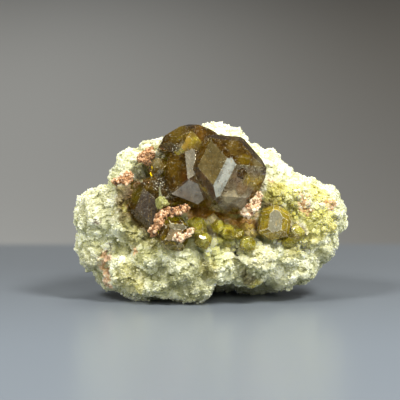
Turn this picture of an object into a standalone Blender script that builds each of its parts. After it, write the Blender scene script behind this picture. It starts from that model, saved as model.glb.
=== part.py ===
"""Garnet in matrix: olive-brown andradite crystals grown together in a pale, lumpy, granular rock.

Metres, +Z up. The specimen rests on the plane z = 0, the origin is under its middle, and the crystals face -Y.
"""

import math

import bmesh
import bpy
from mathutils import Matrix, Vector, noise

MM = 0.001

# Driving dimensions
GAP = 0.32 * MM  # clearance that separate pieces keep where they touch
LEAN_BACK = math.radians(8)  # the crystal group's front looks this far upwards
ROCK_CELL = 0.8 * MM  # cell in which the rock's lumps are melted together
ROCK_SHARE = 0.25  # share of the melted rock's triangles that is kept
CRUST_CELL = 0.3 * MM
CRUST_SHARE = 0.3
LUMP_WAVER = 0.10  # how far a lump strays from its ellipsoid, as a share of its radius
BALL_SIZE = 3.4 * MM  # spacing of the small balls that make the rock's skin knobbly
BALL_RELIEF = 0.75 * MM
BASE_DEPTH = 6 * MM  # how far the base cutter reaches under the specimen

# Face directions of the two crystal forms that garnet grows: 12 rhombs and 24 kites.
RHOMBS = [
    v
    for a in (1, -1)
    for b in (1, -1)
    for v in ((a, b, 0), (a, 0, b), (0, a, b))
]
KITES = [
    v
    for a in (2, -2)
    for b in (1, -1)
    for c in (1, -1)
    for v in ((a, b, c), (b, a, c), (b, c, a))
]

# Crystals, in millimetres and degrees. size is from the middle to a rhomb; kites sets how far out the kites lie
# in sizes; uneven moves single faces; face points turn[0] right and turn[1] up of the group's front, and edge
# stands upright, leaning turn[2] to the right.
BIG = {
    "centre": (3.3, -7.3, 23.95),
    "size": 6.7,
    "turn": (0, 0, 27),
    "face": (2, 1, 1),
    "edge": (-1, 1, 1),
    "kites": 1.055,
    "uneven": {
        (0, 1, 1): 0.90,
        (1, 0, -1): 1.14,
        (2, 1, 1): 0.972,
        (2, 1, -1): 0.99,
        (2, -1, -1): 1.07,
        (1, 1, 0): 0.92,
        (-1, 2, 1): 0.79,
        (-1, 1, 2): 0.86,
        (1, 2, 1): 0.94,
        (-1, 2, -1): 0.84,
        (0, 1, -1): 0.93,
        (-1, 1, 0): 0.90,
        (1, 2, -1): 0.93,
    },
}
LEFT = {
    "centre": (-2.8, -5.5, 22.9),
    "size": 5.3,
    "turn": (-5, 0, -8),
    "face": (1, 1, 1),
    "edge": (2, -1, -1),
    "kites": 1.055,
    "uneven": {(1, 2, 1): 1.08, (0, 1, 1): 1.0, (1, 0, -1): 1.25, (2, 1, -1): 1.2},
}
TOP = {
    "centre": (-3.6, -4.3, 28.7),
    "size": 4.6,
    "turn": (-40, 82, 45),
    "face": (1, 1, 0),
    "edge": (0, 0, -1),
    "kites": 1.06,
    "uneven": {
        (1, 1, 0): 0.73,
        (2, 1, 1): 0.76,
        (1, 2, 1): 0.72,
        (1, 2, -1): 0.72,
        (2, 1, -1): 0.74,
        (1, 0, -1): 0.80,
        (1, -1, -2): 0.82,
    },
}
DARK = {
    "centre": (-10.7, -6.0, 18.25),
    "size": 4.7,
    "turn": (-8, -8, -12),
    "face": (1, 1, 0),
    "edge": (1, -1, 0),
    "kites": 1.07,
}
SHOULDER = {
    "centre": (-9.3, -5.2, 24.1),
    "size": 2.0,
    "turn": (-20, 10, 10),
    "face": (1, 1, 0),
    "edge": (1, -1, 0),
    "kites": 1.05,
}
RIDER = {
    "centre": (5.5, -13.05, 24.45),
    "size": 0.95,
    "turn": (20, 10, 25),
    "face": (1, 1, 0),
    "edge": (1, -1, 0),
    "kites": 1.06,
}
FRONT = {
    "centre": (-6.9, -10.4, 13.3),
    "size": 2.9,
    "turn": (6, -6, 60),
    "face": (1, 1, 0),
    "edge": (1, -1, 0),
    "kites": 1.05,
}
RIGHT = {
    "centre": (11.4, -8.0, 14.8),
    "size": 2.9,
    "turn": (0, 1, 8),
    "face": (2, 1, 1),
    "edge": (1, -1, -1),
    "kites": 1.05,
    "uneven": {(2, 1, 1): 0.85, (1, 1, 0): 0.95},
}


def small_garnet(centre, size, turn):
    return {
        "centre": centre,
        "size": size,
        "turn": turn,
        "face": (1, 1, 0),
        "edge": (1, -1, 0),
        "kites": 1.06,
    }


# Crystals that have grown into one another are one piece.
GARNETS = {
    "garnet_cluster": [BIG, LEFT, TOP, DARK, SHOULDER, RIDER],
    "garnet_front": [FRONT],
    "garnet_right": [RIGHT],
    "garnet_yellow_left": [
        small_garnet((-2.6, -9.7, 14.3), 1.7, (15, 10, 30)),
        small_garnet((-1.4, -10.2, 12.0), 1.4, (-25, -5, 70)),
    ],
    "garnet_yellow_middle": [
        small_garnet((1.4, -9.2, 14.2), 1.2, (10, 15, 15)),
        small_garnet((3.2, -9.6, 13.4), 1.25, (-10, 0, 55)),
        small_garnet((4.9, -9.4, 13.0), 1.0, (25, 5, 35)),
    ],
    "garnet_yellow_low": [small_garnet((6.6, -10.3, 11.3), 1.35, (-15, 20, 40))],
    "garnet_yellow_right": [
        small_garnet((15.2, -7.8, 12.8), 1.5, (21, 22, 105)),
        small_garnet((13.8, -8.4, 11.5), 1.0, (21, 22, 60)),
    ],
}

# Rock lumps, in millimetres: centre, then half-width, half-depth and half-height.
ROCK_CORE = [
    ((-1.0, 3.5, 14.0), (18.0, 9.2, 13.0)),
    ((10.0, 2.5, 12.0), (12.0, 8.0, 10.6)),
    ((-12.5, 1.5, 12.6), (9.5, 8.0, 11.4)),
]
LEFT_LOBE = [
    ((-19.4, -1.5, 15.2), (5.9, 6.3, 5.4)),
    ((-19.8, -1.0, 9.4), (5.2, 6.2, 5.2)),
    ((-17.2, -2.0, 5.4), (4.4, 5.2, 4.2)),
]
UPPER_LEFT_RIDGE = [
    ((-15.7, 0.0, 21.6), (3.1, 5.0, 3.4)),
    ((-14.2, 0.5, 24.4), (3.2, 4.6, 3.0)),
    ((-10.8, 1.0, 26.2), (3.2, 4.4, 2.8)),
    ((-6.8, 2.5, 26.8), (4.2, 4.0, 2.9)),
    ((-9.2, -1.4, 27.6), (2.2, 2.6, 1.9)),
]
TOP_RIDGE = [
    ((0.8, 4.0, 27.2), (4.8, 5.2, 4.3)),
    ((4.0, 4.5, 26.4), (3.2, 5.5, 4.0)),
    ((7.4, 4.5, 23.6), (3.4, 5.6, 4.0)),
    ((10.4, 4.4, 22.6), (3.0, 6.0, 4.2)),
    ((12.6, 4.0, 20.8), (2.8, 5.6, 3.8)),
    ((15.4, 3.5, 18.4), (3.0, 6.0, 4.0)),
    ((18.6, 3.2, 17.6), (3.2, 6.0, 4.1)),
    ((21.0, 2.5, 16.5), (3.3, 5.2, 4.1)),
    ((22.5, 1.5, 14.6), (2.5, 4.4, 3.6)),
]
RIGHT_FLANK = [
    ((20.2, 0.8, 10.6), (3.3, 6.2, 4.4)),
    ((15.8, 0.0, 7.2), (4.4, 7.5, 5.0)),
    ((12.8, -3.0, 5.2), (4.4, 5.2, 3.4)),
    ((12.3, -3.4, 12.6), (5.0, 4.6, 5.0)),
    ((17.8, -3.0, 13.4), (4.4, 4.4, 5.2)),
    ((11.0, -1.8, 17.8), (4.2, 4.4, 4.2)),
    ((15.8, -1.4, 17.4), (3.8, 4.2, 3.8)),
    ((9.6, -3.6, 19.6), (1.9, 3.0, 2.6)),
]
RIM = [
    ((18.6, -4.6, 11.4), (2.6, 2.6, 1.3)),
    ((20.8, -3.6, 13.0), (2.2, 2.4, 1.4)),
]
LOWER_FRONT = [
    ((-4.9, -8.8, 6.9), (3.9, 3.8, 4.0)),
    ((1.6, -7.6, 7.2), (3.6, 3.8, 3.8)),
    ((8.4, -8.2, 8.0), (3.5, 3.6, 3.2)),
    ((13.6, -6.2, 8.6), (3.2, 3.4, 3.0)),
    ((-10.8, -7.2, 8.6), (3.8, 4.0, 4.0)),
    ((-15.2, -5.2, 6.0), (3.8, 4.0, 3.8)),
    ((-9.6, -7.2, 3.6), (4.6, 3.8, 2.8)),
    ((-3.2, -7.8, 2.9), (3.8, 3.6, 2.8)),
    ((6.5, -5.5, 5.3), (4.4, 4.0, 2.6)),
    ((-15.9, -6.4, 15.4), (2.4, 3.8, 4.4)),
    ((-15.2, -5.4, 19.8), (2.1, 3.8, 2.6)),
    ((-13.6, -6.8, 12.6), (2.6, 3.0, 2.8)),
    ((0.5, -5.5, 12.2), (8.0, 4.0, 3.4)),
]
BACK = [
    ((-9.0, 9.2, 15.5), (6.6, 4.4, 6.2)),
    ((6.6, 9.6, 14.2), (6.4, 4.8, 5.6)),
    ((0.5, 8.0, 22.4), (6.0, 4.6, 5.0)),
    ((-1.0, 10.4, 8.0), (5.2, 4.4, 4.6)),
    ((-16.0, 5.0, 10.0), (5.0, 4.5, 6.0)),
    ((15.6, 6.6, 13.6), (4.4, 3.8, 5.0)),
    ((11.0, 8.2, 6.6), (4.6, 3.8, 4.0)),
    ((-8.6, 7.6, 23.6), (3.6, 3.4, 3.2)),
    ((9.6, 8.4, 20.4), (3.8, 3.6, 3.4)),
]
FEET = [
    ((-11.8, -2.8, 3.0), (6.0, 5.0, 3.4)),
    ((-3.8, -6.4, 2.7), (4.6, 3.6, 3.1)),
    ((8.6, 3.4, 2.9), (5.8, 4.2, 3.3)),
    ((2.2, 6.4, 3.0), (7.0, 4.6, 3.4)),
    ((-9.6, 5.2, 3.0), (5.6, 4.5, 3.3)),
]
ROCK = (
    ROCK_CORE
    + LEFT_LOBE
    + UPPER_LEFT_RIDGE
    + TOP_RIDGE
    + RIGHT_FLANK
    + RIM
    + LOWER_FRONT
    + BACK
    + FEET
)

# Pink crusts, in millimetres: the line each one follows and its half-thickness.
CRUSTS = {
    "pink_ribbon": (
        [
            (-10.3, -11.3, 13.7),
            (-9.8, -12.0, 14.4),
            (-9.2, -12.4, 15.1),
            (-9.3, -12.1, 16.0),
            (-8.7, -11.7, 16.9),
            (-7.7, -11.5, 17.3),
            (-6.1, -11.3, 17.5),
            (-4.6, -11.0, 17.7),
        ],
        0.8,
    ),
    "pink_crust_front": ([(-6.3, -13.5, 12.9), (-5.2, -13.1, 13.0), (-4.2, -12.5, 13.7), (-3.8, -12.2, 14.1)], 0.72),
    "pink_crust_under": ([(6.5, -11.2, 17.0), (7.4, -11.4, 18.2), (8.3, -10.4, 19.8)], 0.95),
    "pink_crust_upper_left": ([(-12.1, -4.6, 26.1), (-11.0, -4.4, 27.3)], 1.0),
    "pink_crust_left": ([(-17.0, -5.6, 21.8), (-15.9, -6.2, 22.4), (-14.8, -6.4, 23.0)], 0.85),
}
NUB = [((-8.9, -11.2, 18.9), (1.15, 1.1, 1.2))]


def millimetres(values):
    return Vector(values) * MM


def crystal_turn(crystal):
    """The rotation that brings a crystal's own axes to where its face and edge are to point."""
    right, up, lean = (math.radians(x) for x in crystal["turn"])
    front = Vector((0, -math.cos(LEAN_BACK), math.sin(LEAN_BACK)))
    upright = Vector((0, math.sin(LEAN_BACK), math.cos(LEAN_BACK)))
    across = Vector((1, 0, 0))
    facing = math.cos(up) * (math.sin(right) * across + math.cos(right) * front) + math.sin(up) * upright
    over = (upright - facing * facing.dot(upright)).normalized()
    along = math.cos(lean) * over + math.sin(lean) * over.cross(facing)
    placed = Matrix((facing, along, facing.cross(along))).transposed()
    face = Vector(crystal["face"]).normalized()
    edge = Vector(crystal["edge"]).normalized()
    return placed @ Matrix((face, edge, face.cross(edge)))


def object_of(name, bm):
    mesh = bpy.data.meshes.new(name)
    bm.to_mesh(mesh)
    bm.free()
    obj = bpy.data.objects.new(name, mesh)
    bpy.context.scene.collection.objects.link(obj)
    return obj


def crystal_block(name, crystal, swell=0.0):
    """A block cut by the planes of the crystal's rhombs and kites; swell moves every face outwards."""
    size = crystal["size"] * MM
    turn = crystal_turn(crystal)
    uneven = crystal.get("uneven", {})
    bm = bmesh.new()
    bmesh.ops.create_cube(bm, size=6 * size)
    for faces, reach in ((RHOMBS, 1.0), (KITES, crystal["kites"])):
        for face in faces:
            normal = turn @ Vector(face).normalized()
            distance = size * reach * uneven.get(face, 1.0) + swell
            bmesh.ops.bisect_plane(
                bm,
                geom=bm.verts[:] + bm.edges[:] + bm.faces[:],
                dist=1e-8,
                plane_co=normal * distance,
                plane_no=normal,
                clear_outer=True,
            )
            bmesh.ops.holes_fill(bm, edges=[e for e in bm.edges if e.is_boundary], sides=0)
    bmesh.ops.remove_doubles(bm, verts=bm.verts[:], dist=2e-6)
    bmesh.ops.recalc_face_normals(bm, faces=bm.faces[:])
    bmesh.ops.translate(bm, verts=bm.verts[:], vec=millimetres(crystal["centre"]))
    return object_of(name, bm)


def helper(obj):
    obj.hide_render = True
    obj.display_type = "WIRE"
    return obj


def combine(obj, other, operation):
    boolean = obj.modifiers.new(f"{operation.lower()} {other.name}"[:60], "BOOLEAN")
    boolean.operation = operation
    boolean.object = other
    boolean.solver = "EXACT"


def baked(obj):
    """Apply the modifiers, and keep the largest connected body: a cut can leave crumbs loose."""
    graph = bpy.context.evaluated_depsgraph_get()
    mesh = bpy.data.meshes.new_from_object(obj.evaluated_get(graph))
    obj.modifiers.clear()
    obj.data = mesh
    bm = bmesh.new()
    bm.from_mesh(mesh)
    bmesh.ops.remove_doubles(bm, verts=bm.verts[:], dist=2e-6)
    bodies = []
    waiting = set(bm.verts)
    while waiting:
        body = {waiting.pop()}
        edge_of_body = list(body)
        while edge_of_body:
            vertex = edge_of_body.pop()
            for edge in vertex.link_edges:
                other = edge.other_vert(vertex)
                if other not in body:
                    body.add(other)
                    edge_of_body.append(other)
        waiting -= body
        bodies.append(body)
    bodies.sort(key=len)
    crumbs = [v for body in bodies[:-1] for v in body]
    bmesh.ops.delete(bm, geom=crumbs, context="VERTS")
    bm.to_mesh(mesh)
    bm.free()
    return obj


def garnet_piece(name, crystals, swell=0.0):
    piece = crystal_block(name, crystals[0], swell)
    for number, crystal in enumerate(crystals[1:], 1):
        combine(piece, helper(crystal_block(f"cutter_{name}_{number}", crystal, swell)), "UNION")
    return baked(piece)


def melted_lumps(name, lumps, cell, share, grow=0.0, knobbly=False):
    """Overlapping ellipsoids with wavering surfaces, made one skin."""
    bm = bmesh.new()
    for centre, radii in lumps:
        middle = millimetres(centre)
        size = millimetres(radii) + Vector((grow, grow, grow))
        made = bmesh.ops.create_icosphere(bm, subdivisions=3, radius=1.0)
        for vertex in made["verts"]:
            out = vertex.co.normalized()
            waver = noise.fractal(middle / (4 * MM) + out * 1.6, 1.0, 2.0, 3)
            vertex.co = middle + out * size * (1 + LUMP_WAVER * waver)
    obj = object_of(name, bm)
    melt = obj.modifiers.new("melt together", "REMESH")
    melt.mode = "VOXEL"
    melt.voxel_size = cell
    baked(obj)
    if knobbly:
        raise_balls(obj.data)
    thin = obj.modifiers.new("fewer triangles", "DECIMATE")
    thin.ratio = share
    return baked(obj)


def raise_balls(mesh):
    """Push the skin out into small balls with creases between them."""
    bm = bmesh.new()
    bm.from_mesh(mesh)
    bm.normal_update()
    moves = []
    for vertex in bm.verts:
        near = noise.voronoi(vertex.co / BALL_SIZE)[0][0]
        moves.append(vertex.normal * BALL_RELIEF * (0.45 - near))
    for vertex, move in zip(bm.verts, moves):
        vertex.co += move
    bm.to_mesh(mesh)
    bm.free()


def crust_lumps(line, half_thickness):
    """Small lumps strung along a line, about one to a half-thickness."""
    lumps = []
    for start, end in zip(line, line[1:]):
        start, end = Vector(start), Vector(end)
        steps = max(1, round((end - start).length / (0.9 * half_thickness)))
        for step in range(steps):
            middle = start.lerp(end, step / steps)
            swing = 1 + 0.22 * noise.noise(middle * 1.7)
            lumps.append((middle, (half_thickness * swing,) * 3))
    lumps.append((Vector(line[-1]), (half_thickness * 0.8,) * 3))
    return lumps


def base_cutter():
    """A block under z = 0, which trims the feet to flats."""
    bm = bmesh.new()
    bmesh.ops.create_cube(bm, size=1.0)
    bmesh.ops.scale(bm, vec=(80 * MM, 80 * MM, BASE_DEPTH), verts=bm.verts[:])
    bmesh.ops.translate(bm, vec=(0, 0, -BASE_DEPTH / 2), verts=bm.verts[:])
    return helper(object_of("cutter_base", bm))


def stand_on_origin(pieces):
    """Bring the middle of the whole specimen over the origin."""
    corners = [vertex.co for piece in pieces for vertex in piece.data.vertices]
    across = (min(c.x for c in corners) + max(c.x for c in corners)) / 2
    deep = (min(c.y for c in corners) + max(c.y for c in corners)) / 2
    for piece in pieces:
        piece.data.transform(Matrix.Translation((-across, -deep, 0)))


def coat(obj, colour, roughness):
    made = bpy.data.materials.new(f"{obj.name} surface")
    made.use_nodes = True
    shader = made.node_tree.nodes["Principled BSDF"]
    shader.inputs["Base Color"].default_value = (*colour, 1.0)
    shader.inputs["Roughness"].default_value = roughness
    shader.inputs["Metallic"].default_value = 0.0
    made.diffuse_color = (*colour, 1.0)
    obj.data.materials.clear()
    obj.data.materials.append(made)


def clear_scene():
    for obj in list(bpy.data.objects):
        bpy.data.objects.remove(obj)


clear_scene()

garnets = {name: garnet_piece(name, crystals) for name, crystals in GARNETS.items()}
sockets = {name: helper(garnet_piece(f"cutter_{name}", crystals, GAP)) for name, crystals in GARNETS.items()}

crusts = {}
crust_sockets = []
for name, (line, half_thickness) in CRUSTS.items():
    lumps = crust_lumps(line, half_thickness)
    crusts[name] = melted_lumps(name, lumps, CRUST_CELL, CRUST_SHARE)
    crust_sockets.append(helper(melted_lumps(f"cutter_{name}", lumps, CRUST_CELL, CRUST_SHARE, GAP)))
crusts["pale_nub"] = melted_lumps("pale_nub", NUB, CRUST_CELL, CRUST_SHARE)
crust_sockets.append(helper(melted_lumps("cutter_pale_nub", NUB, CRUST_CELL, CRUST_SHARE, GAP)))

names = list(garnets)
for earlier, name in enumerate(names):
    for neighbour in names[:earlier]:
        combine(garnets[name], sockets[neighbour], "DIFFERENCE")
    baked(garnets[name])
for crust in crusts.values():
    for socket in sockets.values():
        combine(crust, socket, "DIFFERENCE")
    baked(crust)
combine(crusts["pale_nub"], helper(crust_sockets[0]), "DIFFERENCE")
baked(crusts["pale_nub"])

rock = melted_lumps("matrix", ROCK, ROCK_CELL, ROCK_SHARE, knobbly=True)
combine(rock, base_cutter(), "DIFFERENCE")
for socket in [*sockets.values(), *crust_sockets]:
    combine(rock, socket, "DIFFERENCE")
baked(rock)

stand_on_origin([rock, *garnets.values(), *crusts.values()])
coat(rock, (0.62, 0.60, 0.45), 0.75)
for name, garnet in garnets.items():
    coat(garnet, (0.28, 0.22, 0.03) if "yellow" in name else (0.10, 0.065, 0.015), 0.15)
for name, crust in crusts.items():
    coat(crust, (0.42, 0.42, 0.16) if name == "pale_nub" else (0.55, 0.27, 0.15), 0.7)
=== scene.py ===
"""Garnet in matrix: the looks.

Olive-brown garnets stand in a pale, sugary rock with salmon-pink crusts and a druse of small yellow-green
crystals. Metres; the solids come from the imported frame.
"""

import math

import bmesh
import bpy
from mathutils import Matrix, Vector, noise
from mathutils.bvhtree import BVHTree


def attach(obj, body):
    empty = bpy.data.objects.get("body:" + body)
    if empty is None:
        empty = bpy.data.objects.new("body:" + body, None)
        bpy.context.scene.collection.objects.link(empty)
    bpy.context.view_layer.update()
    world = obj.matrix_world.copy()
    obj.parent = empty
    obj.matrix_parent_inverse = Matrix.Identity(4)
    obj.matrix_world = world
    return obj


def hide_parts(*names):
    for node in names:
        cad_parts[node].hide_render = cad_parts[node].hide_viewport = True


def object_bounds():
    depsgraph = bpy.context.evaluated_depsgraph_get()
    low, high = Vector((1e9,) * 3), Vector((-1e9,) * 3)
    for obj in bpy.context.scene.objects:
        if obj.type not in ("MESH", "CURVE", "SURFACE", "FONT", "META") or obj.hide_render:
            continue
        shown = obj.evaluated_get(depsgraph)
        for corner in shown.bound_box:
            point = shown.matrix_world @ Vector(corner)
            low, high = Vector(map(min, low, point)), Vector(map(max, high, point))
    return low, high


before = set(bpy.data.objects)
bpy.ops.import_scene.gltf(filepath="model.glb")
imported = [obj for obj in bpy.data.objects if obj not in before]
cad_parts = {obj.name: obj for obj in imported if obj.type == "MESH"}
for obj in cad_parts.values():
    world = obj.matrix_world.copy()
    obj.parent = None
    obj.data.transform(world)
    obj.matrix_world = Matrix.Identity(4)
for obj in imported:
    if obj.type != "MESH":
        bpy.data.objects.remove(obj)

MM = 0.001
CAD_BOX = [list(corner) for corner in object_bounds()]
LOW, HIGH = (Vector(corner) for corner in CAD_BOX)

# View
LOOK_DOWN = math.radians(8)  # the camera looks down on the specimen by this angle
CAMERA_DISTANCE = 620 * MM
VIEW_WIDTH = 72.7 * MM  # what the frame shows across, at the specimen
SENSOR_WIDTH = 36  # in millimetres, as the camera's own settings are
AIM = Vector((-2.0, -2.0, 18.1)) * MM

# Rock: its lumps are melted together, and its skin has three sizes of relief.
ROCK_CELL = 0.27 * MM
LUMP_WAVER = 0.10  # how far a lump strays from its ellipsoid, as a share of its radius
LUMP_WAVER_SIZE = 4 * MM
BALL_SIZE = 3.4 * MM
BALL_RELIEF = 0.75 * MM
BLOCK_SIZE = 1.5 * MM
BLOCK_RELIEF = 0.55 * MM
GRIT_SIZE = 0.62 * MM
GRIT_RELIEF = 0.17 * MM
SINK = 0.12 * MM  # the rock lies this far under its outline, and its grains fill the rest
BOX_MARGIN = 0.02 * MM  # the looks stay this far inside the solids' box

# Crystals
MERGE = 2e-6  # corners nearer than this are one corner
CUT_SLACK = 1e-8
FLAT_ANGLE = math.radians(1.0)  # faces that meet at less than this are one face
SHARP_ANGLE = math.radians(8)  # edges sharper than this are worn
HAZE_REACH = 4 * MM  # a point on a hazy face lies no further than this from the face's middle
GARNET_IOR = 1.88

# Grains
GRAIN_REACH = 0.45 * MM  # from a small garnet's middle to its faces
GRAINS_PER_SQUARE_METRE = 4e7  # before they are thinned to their spacing
LARGE_ARE_RARE = 2.2  # the power that an even random number is raised to
FULL_TURN = 6.283
SWING_SEED = 77

# Crusts
CRUST_CELL = 0.12 * MM
CRUST_RELIEF = 0.34 * MM
CRUST_KNOB_SIZE = 0.6 * MM

# The nub's spike
SPIKE_LENGTH = 2.4 * MM
SPIKE_FOOT = 0.42 * MM
SPIKE_TIP = 0.07 * MM
SPIKE_LEAN = 0.35 * MM
SPIKE_MIDDLE = Vector((-8.95, -11.4, 20.6)) * MM


def tone(red, green, blue):
    """A colour from its 0 to 255 display values."""

    def linear(value):
        value /= 255
        return value / 12.92 if value < 0.04045 else ((value + 0.055) / 1.055) ** 2.4

    return (linear(red), linear(green), linear(blue), 1.0)


def millimetres(values):
    return Vector(values) * MM


# Rock lumps, in millimetres: centre, then half-width, half-depth and half-height.
ROCK_CORE = [
    ((-1.0, 3.5, 14.0), (18.0, 9.2, 13.0)),
    ((10.0, 2.5, 12.0), (12.0, 8.0, 10.6)),
    ((-12.5, 1.5, 12.6), (9.5, 8.0, 11.4)),
]
LEFT_LOBE = [
    ((-19.4, -1.5, 15.2), (5.9, 6.3, 5.4)),
    ((-19.8, -1.0, 9.4), (5.2, 6.2, 5.2)),
    ((-17.2, -2.0, 5.4), (4.4, 5.2, 4.2)),
]
UPPER_LEFT_RIDGE = [
    ((-15.7, 0.0, 21.6), (3.1, 5.0, 3.4)),
    ((-14.2, 0.5, 24.4), (3.2, 4.6, 3.0)),
    ((-10.8, 1.0, 26.2), (3.2, 4.4, 2.8)),
    ((-6.8, 2.5, 26.8), (4.2, 4.0, 2.9)),
    ((-9.2, -1.4, 27.6), (2.2, 2.6, 1.9)),
]
TOP_RIDGE = [
    ((0.8, 4.0, 27.2), (4.8, 5.2, 4.3)),
    ((4.0, 4.5, 26.4), (3.2, 5.5, 4.0)),
    ((7.4, 4.5, 23.6), (3.4, 5.6, 4.0)),
    ((10.4, 4.4, 22.6), (3.0, 6.0, 4.2)),
    ((12.6, 4.0, 20.8), (2.8, 5.6, 3.8)),
    ((15.4, 3.5, 18.4), (3.0, 6.0, 4.0)),
    ((18.6, 3.2, 17.6), (3.2, 6.0, 4.1)),
    ((21.0, 2.5, 16.5), (3.3, 5.2, 4.1)),
    ((22.5, 1.5, 14.6), (2.5, 4.4, 3.6)),
]
RIGHT_FLANK = [
    ((20.2, 0.8, 10.6), (3.3, 6.2, 4.4)),
    ((15.8, 0.0, 7.2), (4.4, 7.5, 5.0)),
    ((12.8, -3.0, 5.2), (4.4, 5.2, 3.4)),
    ((12.3, -3.4, 12.6), (5.0, 4.6, 5.0)),
    ((17.8, -3.0, 13.4), (4.4, 4.4, 5.2)),
    ((11.0, -1.8, 17.8), (4.2, 4.4, 4.2)),
    ((15.8, -1.4, 17.4), (3.8, 4.2, 3.8)),
    ((9.6, -3.6, 19.6), (1.9, 3.0, 2.6)),
]
RIM = [
    ((18.6, -4.6, 11.4), (2.6, 2.6, 1.3)),
    ((20.8, -3.6, 13.0), (2.2, 2.4, 1.4)),
]
LOWER_FRONT = [
    ((-4.9, -8.8, 6.9), (3.9, 3.8, 4.0)),
    ((1.6, -7.6, 7.2), (3.6, 3.8, 3.8)),
    ((8.4, -8.2, 8.0), (3.5, 3.6, 3.2)),
    ((13.6, -6.2, 8.6), (3.2, 3.4, 3.0)),
    ((-10.8, -7.2, 8.6), (3.8, 4.0, 4.0)),
    ((-15.2, -5.2, 6.0), (3.8, 4.0, 3.8)),
    ((-9.6, -7.2, 3.6), (4.6, 3.8, 2.8)),
    ((-3.2, -7.8, 2.9), (3.8, 3.6, 2.8)),
    ((6.5, -5.5, 5.3), (4.4, 4.0, 2.6)),
    ((-15.9, -6.4, 15.4), (2.4, 3.8, 4.4)),
    ((-15.2, -5.4, 19.8), (2.1, 3.8, 2.6)),
    ((-13.6, -6.8, 12.6), (2.6, 3.0, 2.8)),
    ((0.5, -5.5, 12.2), (8.0, 4.0, 3.4)),
]
BACK = [
    ((-9.0, 9.2, 15.5), (6.6, 4.4, 6.2)),
    ((6.6, 9.6, 14.2), (6.4, 4.8, 5.6)),
    ((0.5, 8.0, 22.4), (6.0, 4.6, 5.0)),
    ((-1.0, 10.4, 8.0), (5.2, 4.4, 4.6)),
    ((-16.0, 5.0, 10.0), (5.0, 4.5, 6.0)),
    ((15.6, 6.6, 13.6), (4.4, 3.8, 5.0)),
    ((11.0, 8.2, 6.6), (4.6, 3.8, 4.0)),
    ((-8.6, 7.6, 23.6), (3.6, 3.4, 3.2)),
    ((9.6, 8.4, 20.4), (3.8, 3.6, 3.4)),
]
FEET = [
    ((-11.8, -2.8, 3.0), (6.0, 5.0, 3.4)),
    ((-3.8, -6.4, 2.7), (4.6, 3.6, 3.1)),
    ((8.6, 3.4, 2.9), (5.8, 4.2, 3.3)),
    ((2.2, 6.4, 3.0), (7.0, 4.6, 3.4)),
    ((-9.6, 5.2, 3.0), (5.6, 4.5, 3.3)),
]
ROCK = (
    ROCK_CORE
    + LEFT_LOBE
    + UPPER_LEFT_RIDGE
    + TOP_RIDGE
    + RIGHT_FLANK
    + RIM
    + LOWER_FRONT
    + BACK
    + FEET
)

# Tones of the rock's skin
MINT = tone(229, 230, 196)
PALE = tone(243, 243, 212)
# painted light: a white brighter than the rock, put on shaded hollows and undersides so that they come out
# as bright as lit rock
PAINTED_LIGHT_WHITE = tone(250, 249, 214)
CREAM = tone(244, 240, 202)
# painted shade: a darker grey for the rock low on the front, which the light from above reaches less
LOW_SHADE_GREY = tone(186, 186, 144)
GREY_GREEN = tone(184, 176, 108)
LEMON = tone(226, 218, 132)
LIME = tone(190, 184, 88)
OLIVE = tone(122, 104, 40)
RUST = tone(78, 48, 14)
# painted shadow: the brown of the clefts under the big crystal
CLEFT_SHADOW_BROWN = tone(188, 132, 24)
SALMON = tone(232, 186, 142)

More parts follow.
